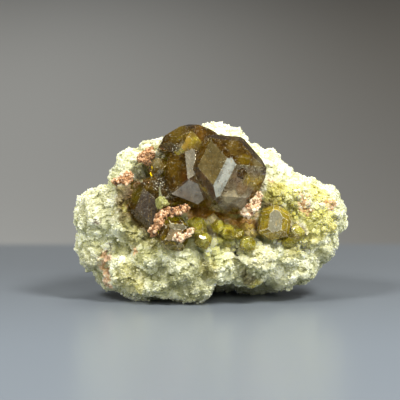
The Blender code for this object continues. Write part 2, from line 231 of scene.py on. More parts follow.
# What the skin looks like from place to place: centre and reach in millimetres, then its tone.
PLACES = [
    ((-21.0, -6.1, 18.1), 5.0, tone(214, 213, 182)),
    ((-21.9, -6.6, 12.6), 4.6, MINT),
    ((-21.5, -6.8, 7.8), 3.6, tone(206, 204, 168)),
    ((-20.8, -7.3, 14.7), 0.9, RUST),
    ((-18.6, -6.7, 10.2), 0.7, RUST),
    ((-17.8, -8.3, 16.3), 1.8, CREAM),
    ((-16.8, -7.5, 20.7), 2.2, OLIVE),
    ((-16.2, -9.1, 18.4), 2.0, OLIVE),
    ((-15.6, -9.0, 16.4), 1.8, OLIVE),
    # painted shadow in the cleft under the left crystal
    ((-14.4, -8.2, 19.6), 2.6, tone(92, 66, 12)),
    ((-13.6, -8.8, 16.6), 1.9, tone(128, 112, 60)),
    ((-13.9, -8.8, 15.1), 2.6, GREY_GREEN),
    ((-14.6, -9.2, 11.8), 2.2, GREY_GREEN),
    ((-11.0, -9.4, 11.9), 2.2, GREY_GREEN),
    # painted light on the shaded hollow between the left lumps
    ((-15.6, -6.6, 9.6), 3.4, PAINTED_LIGHT_WHITE),
    ((-16.6, -7.4, 12.6), 2.0, PALE),
    ((-12.4, -10.3, 9.8), 2.6, tone(218, 216, 158)),
    ((-14.6, -8.8, 4.5), 3.6, tone(216, 210, 150)),
    ((-13.4, -8.8, 3.0), 1.8, LEMON),
    ((-15.0, -9.0, 17.9), 1.1, LIME),
    ((-14.0, -9.2, 9.6), 0.9, SALMON),
    # painted shade low on the front
    ((-9.2, -10.2, 5.1), 3.4, LOW_SHADE_GREY),
    ((-19.2, -6.7, 8.6), 1.3, SALMON),
    ((-19.3, -6.6, 6.6), 1.4, SALMON),
    ((-18.6, -6.7, 5.8), 0.8, RUST),
    ((-18.8, -6.4, 4.9), 1.1, SALMON),
    ((-19.0, -6.0, 3.3), 1.5, tone(240, 202, 172)),
    ((-14.7, -4.3, 23.9), 4.0, MINT),
    ((-11.0, -2.5, 28.0), 3.6, CREAM),
    ((-15.8, -5.4, 22.2), 1.8, RUST),
    ((-12.6, -4.6, 25.0), 1.5, CREAM),
    ((2.0, 3.0, 30.5), 7.0, PALE),
    ((6.2, 3.1, 28.8), 5.0, PALE),
    ((10.8, 0.5, 25.5), 5.0, PALE),
    ((16.3, 1.7, 22.5), 3.6, PALE),
    ((21.0, 2.6, 20.8), 3.4, PALE),
    ((10.5, -2.4, 21.8), 1.0, tone(206, 168, 132)),
    ((12.0, -3.6, 20.6), 2.2, tone(214, 202, 112)),
    ((11.6, -5.4, 19.5), 2.2, tone(206, 196, 100)),
    ((11.0, -6.0, 17.6), 2.2, OLIVE),
    ((14.4, -3.5, 19.8), 2.4, tone(228, 222, 140)),
    ((19.0, -1.8, 19.2), 3.0, LEMON),
    ((14.6, -5.4, 16.4), 2.2, LIME),
    ((16.6, -5.0, 18.9), 1.2, SALMON),
    ((17.2, -5.1, 17.4), 1.3, SALMON),
    ((17.9, -5.3, 16.2), 1.1, SALMON),
    ((21.6, -2.7, 17.3), 1.5, SALMON),
    ((23.9, -0.8, 17.0), 1.6, PALE),
    ((21.5, -4.5, 14.8), 2.6, LEMON),
    ((18.5, -6.0, 15.0), 2.6, LIME),
    ((20.0, -6.9, 13.0), 2.0, LEMON),
    ((18.2, -7.2, 11.0), 2.4, LEMON),
    # painted light on the shaded underside of the lower right
    ((19.7, -5.3, 9.4), 3.4, PAINTED_LIGHT_WHITE),
    ((14.5, -7.8, 9.8), 2.2, tone(190, 184, 120)),
    ((13.9, -7.8, 5.8), 3.8, PAINTED_LIGHT_WHITE),
    ((9.1, -11.0, 9.6), 3.2, CREAM),
    # painted shade low on the front
    ((6.1, -9.9, 6.1), 2.0, LOW_SHADE_GREY),
    ((7.0, -9.4, 4.4), 1.9, tone(106, 96, 44)),
    ((6.2, -9.6, 5.6), 1.3, tone(104, 98, 62)),
    ((8.1, -8.0, 2.9), 1.9, tone(240, 228, 130)),
    ((4.2, -9.6, 9.3), 1.8, CREAM),
    ((1.2, -10.2, 9.0), 2.4, tone(206, 206, 146)),
    ((-0.4, -10.2, 6.8), 2.4, GREY_GREEN),
    ((-5.9, -11.4, 9.1), 3.4, MINT),
    # painted shade low on the front
    ((-2.9, -11.8, 5.6), 3.0, LOW_SHADE_GREY),
    ((-3.8, -11.1, 3.4), 3.4, LOW_SHADE_GREY),
    ((2.5, -9.1, 11.8), 2.2, LIME),
    # painted shadow in the cleft under the big crystal
    ((5.2, -6.4, 14.7), 2.6, CLEFT_SHADOW_BROWN),
    ((-2.0, -5.5, 16.4), 2.6, CLEFT_SHADOW_BROWN),
    ((0.7, -5.8, 15.9), 3.0, CLEFT_SHADOW_BROWN),
    ((7.6, -7.0, 14.6), 2.6, CLEFT_SHADOW_BROWN),
    ((-1.8, -8.0, 13.0), 2.4, OLIVE),
]
SMALL_PLACE = 1.7  # a place whose reach is less shows as uneven stains
STAIN_WEIGHT = 14.0
# painted shade: above the crevice floor, rock near a crystal is darkened as if shaded by it, and kept bare
CREVICE = 1.3 * MM  # above the crevice floor, rock nearer to a crystal than this is dark and bare
CREVICE_FLOOR = 12 * MM
CREVICE_SHADE_TONE = tone(110, 76, 16)
UNDER_CRYSTAL = tone(146, 112, 28)

# What the rock's finish adds to the skin
# painted shade: this tone darkens the skin in the rock's hollows; in pits and dark grains it is their own
# darker tone
DEEP_SHADE = (0.42, 0.405, 0.18, 1)  # multiplies the skin's tone in hollows, pits and dark grains
CREAM_DUST = (0.95, 0.93, 0.84, 1)
PIT_TONE = tone(56, 48, 18)
PATCH_SIZE = 1.6 * MM
SPECKLE_SIZE = 0.42 * MM
GRAIN_SPECK_SIZE = 0.16 * MM
PIT_SIZE = 0.3 * MM

# What the crystals' finish adds to their zones
CLOUD_SIZE = 2.4 * MM
BODY_SIZE = 1.9 * MM
FLAW_SIZE = 0.9 * MM
FLECK_SIZE = 0.22 * MM
CHIP_SIZE = 0.45 * MM
VEIL_SIZE = 2.6 * MM
VEIL_GAP_SIZE = 0.8 * MM
ZONE_WANDER_SIZE = 1.6 * MM
ZONE_WANDER = 1.3 * MM
# the pale tone of specks, veils and worn edges, and of the painted glints, which are painted highlights
PALE_MARK_AND_GLINT_TONE = (0.86, 0.82, 0.62, 1)
SCRATCH_TONE = tone(158, 132, 74)
SCRATCH_LEANS = (0.5, -0.8, 1.5)  # the ways that hair-thin scratches run, in radians
SCRATCH_WIDTH = 0.17 * MM
SCRATCH_STRETCH = (1, 1, 0.06)
WARM_GLINT = (1.0, 0.90, 0.62, 1)

# Colour zones in the clear crystals, whatever the depth: how far right and up, reach, tone, and how milky.
KHAKI = tone(146, 130, 84)
BROWN = tone(84, 46, 10)
MURK = tone(48, 36, 20)
DEPTHS = [
    ((-6.4, 31.4), 2.6, tone(104, 82, 16), 0.50),
    ((-4.2, 30.2), 1.7, tone(90, 68, 14), 0.66),
    ((-5.2, 28.6), 1.1, tone(122, 108, 74), 0.60),
    ((-2.2, 30.6), 1.7, tone(136, 92, 14), 0.32),
    ((-1.2, 32.6), 1.4, tone(96, 78, 14), 0.35),
    ((-7.0, 25.2), 2.6, tone(112, 84, 12), 0.40),
    ((-4.4, 22.9), 1.9, BROWN, 0.35),
    ((-9.9, 26.0), 1.7, KHAKI, 0.42),
    ((-9.2, 22.2), 1.8, MURK, 0.45),
    ((-8.0, 20.0), 1.8, MURK, 0.45),
    ((-11.4, 19.6), 2.2, MURK, 0.40),
    ((-11.0, 16.0), 1.6, tone(80, 66, 48), 0.45),
    ((5.4, 21.8), 1.4, tone(118, 74, 8), 0.40),
    ((-13.4, 20.0), 2.4, tone(104, 88, 14), 0.45),
    ((0.2, 21.4), 2.0, tone(66, 38, 12), 0.40),
    ((-2.4, 24.2), 1.1, tone(50, 32, 10), 0.40),
    ((-1.2, 24.2), 1.4, tone(110, 70, 14), 0.35),
    ((3.4, 20.0), 2.0, tone(168, 154, 118), 0.74),
    ((5.8, 18.8), 2.0, tone(158, 148, 122), 0.75),
    ((1.8, 18.4), 1.6, tone(132, 120, 88), 0.60),
    ((4.8, 23.4), 1.5, tone(96, 48, 6), 0.40),
    ((7.4, 23.0), 2.1, tone(124, 100, 2), 0.85),
    ((9.2, 20.6), 1.3, tone(150, 134, 22), 0.50),
    ((6.0, 26.8), 1.7, tone(128, 102, 8), 0.36),
    ((4.0, 29.2), 1.9, tone(108, 84, 26), 0.40),
    ((8.6, 26.2), 1.3, KHAKI, 0.35),
    ((7.4, 19.4), 1.1, BROWN, 0.40),
]

# Where white specks gather in the crystals as painted glints, painted highlights: how far right and up, and
# reach.
SPARKLES = [((-6.2, 28.6), 1.3), ((-9.4, 21.8), 1.4), ((-7.0, 20.4), 1.3), ((0.6, 18.0), 1.2)]

# Where small yellow-green crystals grow on the rock: centre and reach in millimetres.
DRUSE = [
    ((5.0, -8.8, 12.8), 3.6),
    ((-0.5, -8.8, 12.4), 3.2),
    ((7.6, -8.0, 13.4), 3.0),
    ((13.4, -7.0, 13.2), 3.0),
]

# Where finer, paler ones grow.
FINE_DRUSE = [
    ((12.4, -5.5, 19.0), 3.2),
    ((13.0, -6.0, 15.4), 4.6),
    ((19.5, -4.0, 15.5), 4.6),
    ((16.0, -4.0, 19.0), 3.4),
    ((16.5, -6.5, 10.4), 2.4),
    ((8.1, -8.0, 2.9), 1.6),
    ((-13.0, -5.0, 24.6), 1.6),
]

# Hollows under the crystals, where nothing pale grows over their painted shadow: centre and reach in
# millimetres.
CLEFT = [
    ((5.2, -6.4, 14.7), 2.2),
    ((-2.0, -5.5, 16.4), 2.6),
    ((0.7, -5.8, 15.9), 2.6),
    ((7.6, -7.0, 14.6), 1.9),
    ((-14.4, -8.2, 19.6), 2.4),
]

# Crystal faces that are dulled by fine haze: a point on each in millimetres, how hazy, and its tone.
HAZY_FACES = [
    ((0.3, -12.8, 26.3), 0.22, tone(120, 104, 62)),
    ((2.2, -14.2, 24.0), 0.22, tone(170, 172, 158)),
    ((-4.1, -9.9, 20.3), 0.42, tone(156, 150, 138)),
    ((-3.9, -10.1, 25.6), 0.20, tone(150, 142, 120)),
    ((-3.4, -8.9, 29.4), 0.12, tone(150, 120, 44)),
    ((-11.4, -10.7, 18.2), 0.10, tone(80, 66, 56)),
    ((-6.0, -12.9, 14.9), 0.22, tone(122, 114, 88)),
    ((-6.6, -13.3, 13.4), 0.34, tone(134, 116, 84)),
    ((11.7, -10.6, 15.4), 0.36, tone(118, 112, 82)),
]


class Wire:
    """A number carried by a node socket; an expression on it adds Math nodes."""

    def __init__(self, bench, socket):
        self.bench = bench
        self.socket = socket

    def joined(self, operation, first, second):
        return self.bench.node("ShaderNodeMath", {"operation": operation}, {0: first, 1: second})[0]

    def __add__(self, other):
        return self.joined("ADD", self, other)

    def __radd__(self, other):
        return self.joined("ADD", other, self)

    def __sub__(self, other):
        return self.joined("SUBTRACT", self, other)

    def __rsub__(self, other):
        return self.joined("SUBTRACT", other, self)

    def __mul__(self, other):
        return self.joined("MULTIPLY", self, other)

    def __rmul__(self, other):
        return self.joined("MULTIPLY", other, self)

    def __pow__(self, other):
        return self.joined("POWER", self, other)


class Bench:
    """A node tree being built."""

    def __init__(self, tree):
        self.tree = tree

    def node(self, kind, settings=None, values=None):
        """Add a node: its settings first, then its sockets' values or links. Gives its outputs."""
        made = self.tree.nodes.new(kind)
        for name, value in (settings or {}).items():
            if name == "stops":
                ramp = made.color_ramp.elements
                while len(ramp) < len(value):
                    ramp.new(0.5)
                for element, (place, colour) in zip(ramp, value):
                    element.position = place
                    element.color = colour
            else:
                setattr(made, name, value)
        for name, value in (values or {}).items():
            if isinstance(value, Wire):
                self.tree.links.new(value.socket, made.inputs[name])
            else:
                made.inputs[name].default_value = value
        return Outputs(self, made)

    def noise(self, place, size, detail=3.0, roughness=0.55, distortion=0.0):
        """Soft noise around 0.5 whose features are about size across."""
        values = {
            "Vector": place,
            "Scale": 1 / size,
            "Detail": detail,
            "Roughness": roughness,
            "Distortion": distortion,
        }
        return self.node("ShaderNodeTexNoise", None, values)["Fac"]

    def stored(self, name, output="Fac"):
        """A value or colour that the mesh carries."""
        return self.node("ShaderNodeAttribute", {"attribute_name": name})[output]

    def bump(self, strength, distance, height):
        values = {"Strength": strength, "Distance": distance, "Height": height}
        return self.node("ShaderNodeBump", None, values)["Normal"]

    def ramp(self, amount, stops):
        return self.node("ShaderNodeValToRGB", {"stops": stops}, {"Fac": amount})["Color"]

    def ranged(self, amount, low, high, to_low=0.0, to_high=1.0):
        values = {"Value": amount, 1: low, 2: high, 3: to_low, 4: to_high}
        return self.node("ShaderNodeMapRange", {"interpolation_type": "SMOOTHSTEP"}, values)[0]

    def strongest(self, *amounts):
        largest = amounts[0]
        for amount in amounts[1:]:
            largest = self.node("ShaderNodeMath", {"operation": "MAXIMUM"}, {0: largest, 1: amount})[0]
        return largest

    def vector(self, operation, *values):
        """Vector Math with up to three values."""
        made = self.node("ShaderNodeVectorMath", {"operation": operation}, dict(enumerate(values)))
        return made["Value" if operation == "DISTANCE" else "Vector"]

    def warped(self, place, size, reach):
        """The place, shifted about by noise, so that what is drawn there has uneven borders."""
        wander = self.node("ShaderNodeTexNoise", None, {"Vector": place, "Scale": 1 / size})["Color"]
        shift = self.vector("SUBTRACT", wander, (0.5, 0.5, 0.5))
        return self.vector("MULTIPLY_ADD", shift, (2 * reach,) * 3, place)

    def within(self, place, spot, reach, core):
        """1 in the core of a round spot, fading to 0 at its reach; spot and reach are in millimetres."""
        right, up = spot
        away = self.vector("DISTANCE", place, millimetres((right, 0, up)))
        return self.ranged(away, reach * MM, core * reach * MM)

    def mixed(self, amount, first, second, blend="MIX"):
        settings = {"data_type": "RGBA", "blend_type": blend}
        return self.node("ShaderNodeMix", settings, {0: amount, 6: first, 7: second})[2]


class Outputs:
    """A node's outputs, each as a wire, by name or number."""

    def __init__(self, bench, node):
        self.bench = bench
        self.node = node

    def __getitem__(self, name):
        return Wire(self.bench, self.node.outputs[name])


class Finish(Bench):
    """A material being made; place is where each point lies on its piece."""

    def __init__(self, name):
        self.material = bpy.data.materials.new(name)
        self.material.use_nodes = True
        self.material.node_tree.nodes.clear()
        super().__init__(self.material.node_tree)
        self.place = self.node("ShaderNodeTexCoord")["Object"]

    def surface(self, **values):
        """End the material in one Principled shader with these sockets."""
        named = {key.replace("_", " "): value for key, value in values.items()}
        shader = self.node("ShaderNodeBsdfPrincipled", None, named)
        self.node("ShaderNodeOutputMaterial", None, {"Surface": shader["BSDF"]})
        return self.material


def rock_finish(name, roughness, variety):
    """Granular rock with painted shade in its hollows; roughness is its least, and variety is how much
    neighbouring grains differ in tone.
    """
    coat = Finish(name)
    skin = coat.stored("skin", "Color")
    swing = coat.stored("swing")
    hollow = coat.stored("hollow")
    patch = coat.noise(coat.place, PATCH_SIZE, 3.0, 0.6)
    fine = coat.noise(coat.place, SPECKLE_SIZE, 4.0, 0.7)
    grit = coat.noise(coat.place, GRAIN_SPECK_SIZE, 2.0)
    pits = coat.noise(coat.place, PIT_SIZE, 2.0)
    dark_grain_and_shade = coat.mixed(0.85, skin, DEEP_SHADE, "MULTIPLY")
    cream = coat.mixed(0.55, skin, CREAM_DUST)
    grey = coat.node("ShaderNodeRGBToBW", None, {"Color": skin})["Val"]
    light = coat.ranged(grey, 0.10, 0.42, 0.12, 1.0)
    darker = coat.mixed(coat.ranged(swing, 0.45, 0.1, 0.0, variety), skin, dark_grain_and_shade)
    paler = coat.mixed(light * coat.ranged(swing, 0.5, 0.9, 0.0, variety), darker, cream)
    green = coat.mixed(coat.ranged(patch, 0.5, 0.68, 0.0, 0.4), paler, dark_grain_and_shade)
    dusted = coat.mixed(light * coat.ranged(fine, 0.50, 0.70, 0.0, 0.6), green, cream)
    pitted = coat.mixed(coat.ranged(0.6 * fine + 0.4 * grit, 0.48, 0.34, 0.0, 0.85), dusted, dark_grain_and_shade)
    # painted shade: the skin is darkened where the relief is hollow
    hollow_shade = coat.mixed(coat.ranged(hollow, 0.2, 0.9, 0.0, 0.7), pitted, dark_grain_and_shade)
    pit_floor = coat.mixed(0.5, dark_grain_and_shade, PIT_TONE)
    pierced = coat.mixed(coat.ranged(pits, 0.37, 0.28, 0.0, 0.8), hollow_shade, pit_floor)
    return coat.surface(
        Base_Color=pierced,
        Roughness=coat.ranged(fine, 0.3, 0.7, roughness + 0.2, roughness),
        Normal=coat.bump(0.8, 0.16 * MM, fine + 0.5 * grit),
        Subsurface_Weight=0.4,
        Subsurface_Radius=(1.0, 0.95, 0.5),
        Subsurface_Scale=0.45 * MM,
        IOR=1.45,
    )


def druse_finish(name, share):
    """Small garnets; share is how far they take the tone of the rock under them."""
    coat = Finish(name)
    skin = coat.stored("skin", "Color")
    swing = coat.stored("swing")
    own = coat.ramp(
        swing,
        [
            (0.0, tone(112, 92, 14)),
            (0.35, tone(172, 160, 46)),
            (0.7, tone(212, 206, 118)),
            (1.0, tone(240, 238, 206)),
        ],
    )
    cloud = coat.noise(coat.place, 0.5 * MM, 3.0)
    shared = coat.mixed(share, own, skin)
    stained = coat.mixed(coat.ranged(cloud, 0.5, 0.3, 0.0, 0.5), shared, tone(128, 112, 30))
    return coat.surface(
        Base_Color=stained,
        Roughness=coat.ranged(coat.noise(coat.place, 0.6 * MM), 0.3, 0.7, 0.2, 0.5),
        Transmission_Weight=0.15,
        IOR=1.6,
        Subsurface_Weight=0.6,
        Subsurface_Radius=(1.0, 0.9, 0.2),
        Subsurface_Scale=0.8 * MM,
    )


def flecks(coat, front_on, cloud):
    """White specks here and there, and thicker ones as painted glints, painted highlights, where they
    gather.
    """
    speck = coat.noise(coat.place, FLECK_SIZE, 2.0)
    here_and_there = coat.ranged(speck, 0.67, 0.72) * coat.ranged(cloud, 0.48, 0.56)
    thick = coat.ranged(speck, 0.60, 0.65)
    # painted highlight: thick white specks at the sparkle spots stand in for glints
    painted_glints = [coat.within(front_on, spot, reach, 0.5) * thick for spot, reach in SPARKLES]
    return coat.strongest(here_and_there, *painted_glints)


def veils(coat):
    """Thin, broken sheets, where a slow noise crosses its middle."""
    line = coat.noise(coat.place, VEIL_SIZE, 1.5, 0.5, 1.6) - 0.5
    away = coat.node("ShaderNodeMath", {"operation": "ABSOLUTE"}, {0: line})[0]
    broken = coat.ranged(coat.noise(coat.place, VEIL_GAP_SIZE, 2.0), 0.46, 0.56)
    return coat.ranged(away, 0.008, 0.0) * broken


def scratches(coat):
    """Hair-thin lines in a few directions."""
    hairs = []
    for lean in SCRATCH_LEANS:
        along = {"Vector": coat.place, "Rotation": (0.4, lean, 0.2), "Scale": SCRATCH_STRETCH}
        run = coat.noise(coat.node("ShaderNodeMapping", None, along)["Vector"], SCRATCH_WIDTH, 1.0)
        hairs.append(coat.ranged(run, 0.66, 0.74))
    return coat.strongest(*hairs)


def garnet_finish(name, clear, body_tones, cloudiness, soak, density, roughness, edge_wear_and_glint):
    """Clear crystal with zones of colour, hazy faces, pale worn edges that are part worn and part painted
    edge highlight, and veils, scratches and specks inside, with painted glints where the specks gather.

    clear tints what passes its skin, and soak and density say what its inside takes away. body_tones and
    cloudiness, from least to most, are for its milky share. The last argument is how much the pale worn
    edges show.
    """
    coat = Finish(name)
    haze = coat.stored("haze")
    haze_tone = coat.stored("haze tone", "Color")
    worn = coat.stored("worn")
    cloud = coat.noise(coat.place, CLOUD_SIZE, 3.0, 0.55, 0.5)
    flaw = coat.noise(coat.place, FLAW_SIZE, 3.0, 0.65)
    front_on = coat.vector("MULTIPLY", coat.warped(coat.place, ZONE_WANDER_SIZE, ZONE_WANDER), (1, 0, 1))
    body = coat.ramp(coat.noise(coat.place, BODY_SIZE, 3.0, 0.6), body_tones)
    milky = coat.ranged(cloud, 0.4, 0.68, *cloudiness)
    for spot, reach, colour, amount in DEPTHS:
        zone = coat.within(front_on, spot, reach, 0.35)
        body = coat.mixed(zone, body, colour)
        milky = milky * (1 - zone) + amount * zone
    milky = milky * coat.ranged(flaw, 0.3, 0.65, 0.7, 1.2)
    streaked = haze * coat.ranged(flaw, 0.25, 0.65, 0.75, 1.2)
    specks_and_glints = flecks(coat, front_on, cloud)
    veil = veils(coat)
    hair = scratches(coat) * coat.ranged(flaw, 0.42, 0.56)
    # painted highlight in part: the worn edges are painted pale, part worn and part painted edge highlight
    worn_edge_and_glint = worn * coat.ranged(coat.noise(coat.place, CHIP_SIZE, 2.0), 0.44, 0.56, 0.12, 0.95)
    dulled = coat.mixed(coat.ranged(haze, 0.03, 0.1), body, haze_tone)
    scratched = coat.mixed(hair, dulled, SCRATCH_TONE)
    # the milky share is painted pale on specks, veils and worn edges, partly as painted highlight
    milk_tone = coat.mixed(coat.strongest(specks_and_glints, 0.8 * veil, worn_edge_and_glint), scratched, PALE_MARK_AND_GLINT_TONE)
    polish = {
        "Roughness": coat.ranged(flaw, 0.4, 0.75, roughness, roughness + 0.15),
        "Normal": coat.bump(0.06, 0.04 * MM, flaw),
        "IOR": GARNET_IOR,
        "Specular IOR Level": 0.2,
        "Specular Tint": WARM_GLINT,
    }
    glass_values = {**polish, "Base Color": clear, "Transmission Weight": 1.0}
    glass = coat.node("ShaderNodeBsdfPrincipled", None, glass_values)["BSDF"]
    milk = coat.node("ShaderNodeBsdfPrincipled", None, {**polish, "Base Color": milk_tone})["BSDF"]
    share = coat.strongest(milky + streaked, 0.9 * specks_and_glints, 0.5 * veil, 0.55 * hair, edge_wear_and_glint * worn_edge_and_glint)
    both = coat.node("ShaderNodeMixShader", None, {0: share, 1: glass, 2: milk})
    inside = coat.node("ShaderNodeVolumeAbsorption", None, {"Color": soak, "Density": density})
    coat.node("ShaderNodeOutputMaterial", None, {"Surface": both[0], "Volume": inside["Volume"]})
    return coat.material


def pink_finish(name, dark, mid, pale):
    """Dull, fine-grained crust with dark gaps and pale grains."""
    coat = Finish(name)
    swing = coat.stored("swing")
    grain = coat.noise(coat.place, 0.3 * MM, 4.0, 0.7)
    broad = coat.noise(coat.place, 1.0 * MM)
    colour = coat.ramp(
        0.45 * grain + 0.3 * broad + 0.25 * swing,
        [(0.38, dark), (0.46, mid), (0.55, pale), (0.68, tone(238, 212, 182))],
    )
    return coat.surface(
        Base_Color=colour,
        Roughness=0.6,
        Normal=coat.bump(0.8, 0.15 * MM, grain),
        Subsurface_Weight=0.2,
        Subsurface_Radius=(1.0, 0.5, 0.3),
        Subsurface_Scale=0.3 * MM,
    )


def object_of(name, data):
    obj = bpy.data.objects.new(name, data)
    bpy.context.scene.collection.objects.link(obj)
    return obj


def from_bmesh(name, bm):
    mesh = bpy.data.meshes.new(name)
    bm.to_mesh(mesh)
    bm.free()
    return object_of(name, mesh)


def settle(obj):
    """Turn the object's modifiers into plain mesh."""
    graph = bpy.context.evaluated_depsgraph_get()
    mesh = bpy.data.meshes.new_from_object(obj.evaluated_get(graph))
    obj.modifiers.clear()
    obj.data = mesh
    mesh.name = obj.name
    return obj


def remesh(obj, cell):
    melt = obj.modifiers.new("melt together", "REMESH")
    melt.mode = "VOXEL"
    melt.voxel_size = cell
    return settle(obj)


def load_bmesh(obj):
    bm = bmesh.new()
    bm.from_mesh(obj.data)
    return bm


def store_bmesh(bm, obj):
    bm.to_mesh(obj.data)
    bm.free()


def push_out(bm, how_far, relief=1.0):
    """Move every corner along its normal by what how_far says of it, times the relief, all at once."""
    bm.normal_update()
    moves = [vertex.normal * relief * how_far(vertex) for vertex in bm.verts]
    for vertex, move in zip(bm.verts, moves):
        vertex.co += move


def nearest_ball(place, size):
    """How far the place is from the nearest of the balls that are about this size, in sizes."""
    return noise.voronoi(place / size)[0][0]


def chunk(place, size):
    """Broken blocks of about this size: how far one stands out here, and its own number from 0 to 1."""
    distances, centres = noise.voronoi(place / size)
    middle = centres[0]
    tilt = noise.cell_vector(middle * 7.3)
    facet = (place / size - middle).dot(tilt - Vector((0.5, 0.5, 0.5)))
    own = noise.cell(middle * 3.7 + Vector((9, 4, 1)))
    return 0.42 - 0.75 * distances[0] + 1.5 * facet + 0.35 * (own - 0.5), own


def melted_rock(name):
    """The rock's lumps melted into one skin, with balls, broken blocks and grit; flat where it stands."""
    bm = bmesh.new()
    for centre, radii in ROCK:
        middle = millimetres(centre)
        size = millimetres(radii)
        made = bmesh.ops.create_icosphere(bm, subdivisions=4, radius=1.0)
        for vertex in made["verts"]:
            out = vertex.co.normalized()
            waver = noise.fractal(middle / LUMP_WAVER_SIZE + out * 1.6, 1.0, 2.0, 3)
            vertex.co = middle + out * size * (1 + LUMP_WAVER * waver)
    rock = remesh(from_bmesh(name, bm), ROCK_CELL)
    for kind in ("swing", "hollow"):
        rock.data.attributes.new(kind, "FLOAT", "POINT")
    bm = load_bmesh(rock)
    swing = bm.verts.layers.float["swing"]
    hollow = bm.verts.layers.float["hollow"]

    def balls(vertex):
        near = nearest_ball(vertex.co, BALL_SIZE)
        vertex[hollow] = 0.5 * near
        return 0.45 - near

    def blocks_and_grit(vertex):
        rise, own = chunk(vertex.co, BLOCK_SIZE)
        small_rise, small_own = chunk(vertex.co, GRIT_SIZE)
        vertex[swing] = 0.6 * own + 0.4 * small_own
        vertex[hollow] -= 0.8 * rise + 0.4 * small_rise
        return BLOCK_RELIEF * rise + GRIT_RELIEF * small_rise - SINK

    push_out(bm, balls, BALL_RELIEF)
    push_out(bm, blocks_and_grit)
    keep_inside(bm)
    store_bmesh(bm, rock)
    return rock


def keep_inside(bm):
    """No part of the looks reaches past the solids' box; the underside may touch the box's floor."""
    low_margins = (BOX_MARGIN, BOX_MARGIN, 0)
    for vertex in bm.verts:
        vertex.co = Vector(
            min(max(value, low + margin), high - BOX_MARGIN)
            for value, low, margin, high in zip(vertex.co, LOW, low_margins, HIGH)
        )


def clamped(value):
    return max(0.0, min(1.0, value))


def nearness(place, centre, reach):
    """1 at the centre, fading to 0 at the reach."""
    far = (place - millimetres(centre)).length / (reach * MM)
    return max(0.0, 1.0 - far * far)


def nearest_spot(place, spots):
    return max(nearness(place, centre, reach) for centre, reach in spots)


def tree_of(names):
    """One search tree over the named CAD nodes."""
    points, faces = [], []
    for name in names:
        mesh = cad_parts[name].data
        start = len(points)
        points += [vertex.co for vertex in mesh.vertices]
        faces += [[start + corner for corner in face.vertices] for face in mesh.polygons]
    return BVHTree.FromPolygons(points, faces)


def blend(pairs, ground, share):
    """The mean of weighted tones and a ground tone that has this share."""
    total = share
    mix = [part * share for part in ground]
    for weight, colour in pairs:
        total += weight
        mix = [a + weight * b for a, b in zip(mix, colour)]
    return [part / total for part in mix[:3]] + [1.0]


def tone_under_crystal(place):
    """Rock that is seen through a crystal takes on the crystal's own zones of colour."""
    spot = place + millimetres((1, 0, 1)) * noise.noise(place / (1.4 * MM))
    pairs = []
    for (right, up), reach, colour, _ in DEPTHS:
        away = math.hypot(spot.x / MM - right, spot.z / MM - up) / reach
        pairs.append((max(0.0, 1.2 - away) ** 2 * 3, colour))
    return blend(pairs, UNDER_CRYSTAL, 0.5)


def tone_in_open(place, stain):
    """The tone of open rock; stain, from 0 to 1, is how much the small places show here."""
    pairs = []
    for centre, reach, colour in PLACES:
        weight = nearness(place, centre, reach)
        if weight > 0:
            pairs.append((weight**1.5 * (STAIN_WEIGHT * stain if reach < SMALL_PLACE else 1.0), colour))
    return Vector(blend(pairs, MINT, 0.08))


def paint_skin(obj, crystals):
    """Store each corner's tone, with painted shade next to the crystals, and where sugar and druse grow;
    nothing grows inside the crystals.
    """
    mesh = obj.data
    mesh.color_attributes.new("skin", "FLOAT_COLOR", "POINT")
    growths = ("druse", "fine druse", "sugar")
    for kind in growths:
        mesh.attributes.new(kind, "FLOAT", "POINT")
    skin = mesh.attributes["skin"]
    druse, fine_druse, sugar = (mesh.attributes[kind] for kind in growths)
    for vertex in mesh.vertices:
        number = vertex.index
        here = vertex.co
        surface, normal, _, far = crystals.find_nearest(here)
        if (here - surface).dot(normal) < 0:
            skin.data[number].color = tone_under_crystal(here)
            continue
        place = here + millimetres((1, 1, 1)) * noise.noise(here / (1.3 * MM)) * 0.7
        stain = clamped(0.5 + 2.2 * noise.noise(here / (0.55 * MM)))
        crevice_shade = max(0.0, 1.0 - far / CREVICE) if here.z > CREVICE_FLOOR else 0.0
        # painted shade: rock near a crystal is darkened towards the crevice's tone
        skin.data[number].color = tone_in_open(place, stain).lerp(Vector(CREVICE_SHADE_TONE), 0.75 * crevice_shade)
        bare = max(crevice_shade, nearest_spot(place, CLEFT))
        coarse = min(1.0, 1.7 * nearest_spot(place, DRUSE))
        fine = min(1.0, 1.7 * nearest_spot(place, FINE_DRUSE)) * (1.0 - coarse)
        druse.data[number].value = coarse * (1.0 - bare)
        fine_druse.data[number].value = 0.6 * fine * (1.0 - bare)
        free = (1.0 - 0.85 * coarse) * (1.0 - 0.6 * fine) * (1.0 - bare)
        sugar.data[number].value = clamped(0.45 + 1.5 * noise.noise(here / (2.2 * MM))) * free


def garnet_grain(name):
    """A small garnet, about a millimetre across: a block cut by its 12 rhombs."""
    rhombs = [v for a in (1, -1) for b in (1, -1) for v in ((a, b, 0), (a, 0, b), (0, a, b))]
    bm = bmesh.new()
    bmesh.ops.create_cube(bm, size=3 * MM)
    for face in rhombs:
        normal = Vector(face).normalized()
        bmesh.ops.bisect_plane(
            bm,
            geom=bm.verts[:] + bm.edges[:] + bm.faces[:],
            dist=CUT_SLACK,
            plane_co=normal * GRAIN_REACH,
            plane_no=normal,
            clear_outer=True,
        )
        bmesh.ops.holes_fill(bm, edges=[edge for edge in bm.edges if edge.is_boundary], sides=0)
    bmesh.ops.remove_doubles(bm, verts=bm.verts[:], dist=MERGE)
    bmesh.ops.recalc_face_normals(bm, faces=bm.faces[:])
    return from_bmesh(name, bm)


def sugar_grain(name):
    """A faceted, uneven grain of rock, about a millimetre across."""
    bm = bmesh.new()
    bmesh.ops.create_icosphere(bm, subdivisions=1, radius=0.5 * MM)
    for vertex in bm.verts:
        vertex.co *= 1 + 0.35 * noise.noise(vertex.co / (0.3 * MM))
    return from_bmesh(name, bm)


